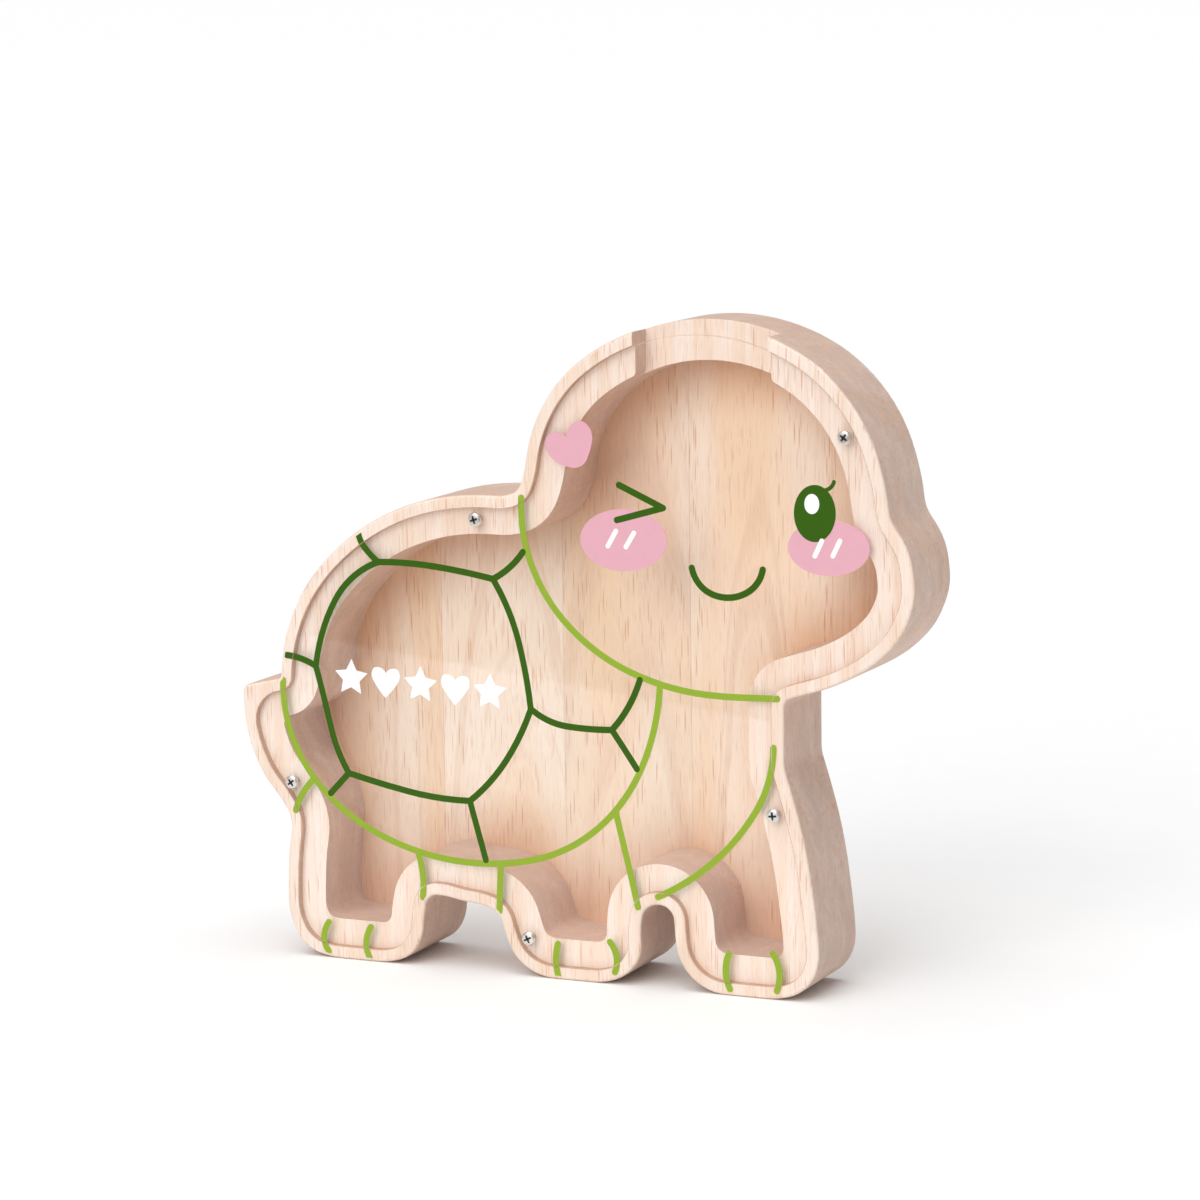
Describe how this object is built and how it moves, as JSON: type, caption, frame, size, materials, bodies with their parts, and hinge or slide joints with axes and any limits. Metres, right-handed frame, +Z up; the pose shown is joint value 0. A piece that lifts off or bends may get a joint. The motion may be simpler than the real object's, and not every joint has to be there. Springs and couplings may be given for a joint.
{
  "type": "wooden money box",
  "caption": "Wooden money box in the shape of a standing turtle, with a clear screwed-on front panel, a printed line drawing and a coin slot in the top of the head.",
  "frame": {"origin": "on the plane the feet stand on, under the middle of the box's width and depth", "axes": "+X to the viewer's right, the clear front faces -Y, +Z up"},
  "size_m": [0.2246, 0.0334, 0.204],
  "materials": {
    "frame_wood": "satin",
    "board_wood": "satin",
    "clear_acrylic": "clear gloss",
    "screw_steel": "bright",
    "ink_dark_green": "printed ink",
    "ink_light_green": "printed ink",
    "ink_pink": "printed ink",
    "ink_white": "printed ink"
  },
  "bodies": {
    "box": {"frame": "frame_wood", "back_stave_1": "board_wood", "back_stave_2": "board_wood", "back_stave_3": "board_wood", "back_stave_4": "board_wood", "back_stave_5": "board_wood", "lip_print_dark_green": "ink_dark_green", "lip_print_light_green": "ink_light_green"},
    "front": {"acrylic_panel": "clear_acrylic", "print_dark_green": "ink_dark_green", "print_light_green": "ink_light_green", "print_pink": "ink_pink", "print_white": "ink_white"},
    "fastener_neck": {"screw_neck": "screw_steel"},
    "fastener_crown": {"screw_crown": "screw_steel"},
    "fastener_tail": {"screw_tail": "screw_steel"},
    "fastener_knee": {"screw_knee": "screw_steel"},
    "fastener_toe": {"screw_toe": "screw_steel"}
  },
  "joints": [
    {"name": "panel_lift", "type": "slide", "parent": "box", "child": "front", "axis": [0, -1, 0], "range_m": [0, 0.06]},
    {"name": "screw_neck_out", "type": "slide", "parent": "front", "child": "fastener_neck", "axis": [0, -1, 0], "range_m": [0, 0.017]},
    {"name": "screw_crown_out", "type": "slide", "parent": "front", "child": "fastener_crown", "axis": [0, -1, 0], "range_m": [0, 0.017]},
    {"name": "screw_tail_out", "type": "slide", "parent": "front", "child": "fastener_tail", "axis": [0, -1, 0], "range_m": [0, 0.017]},
    {"name": "screw_knee_out", "type": "slide", "parent": "front", "child": "fastener_knee", "axis": [0, -1, 0], "range_m": [0, 0.017]},
    {"name": "screw_toe_out", "type": "slide", "parent": "front", "child": "fastener_toe", "axis": [0, -1, 0], "range_m": [0, 0.017]}
  ]
}
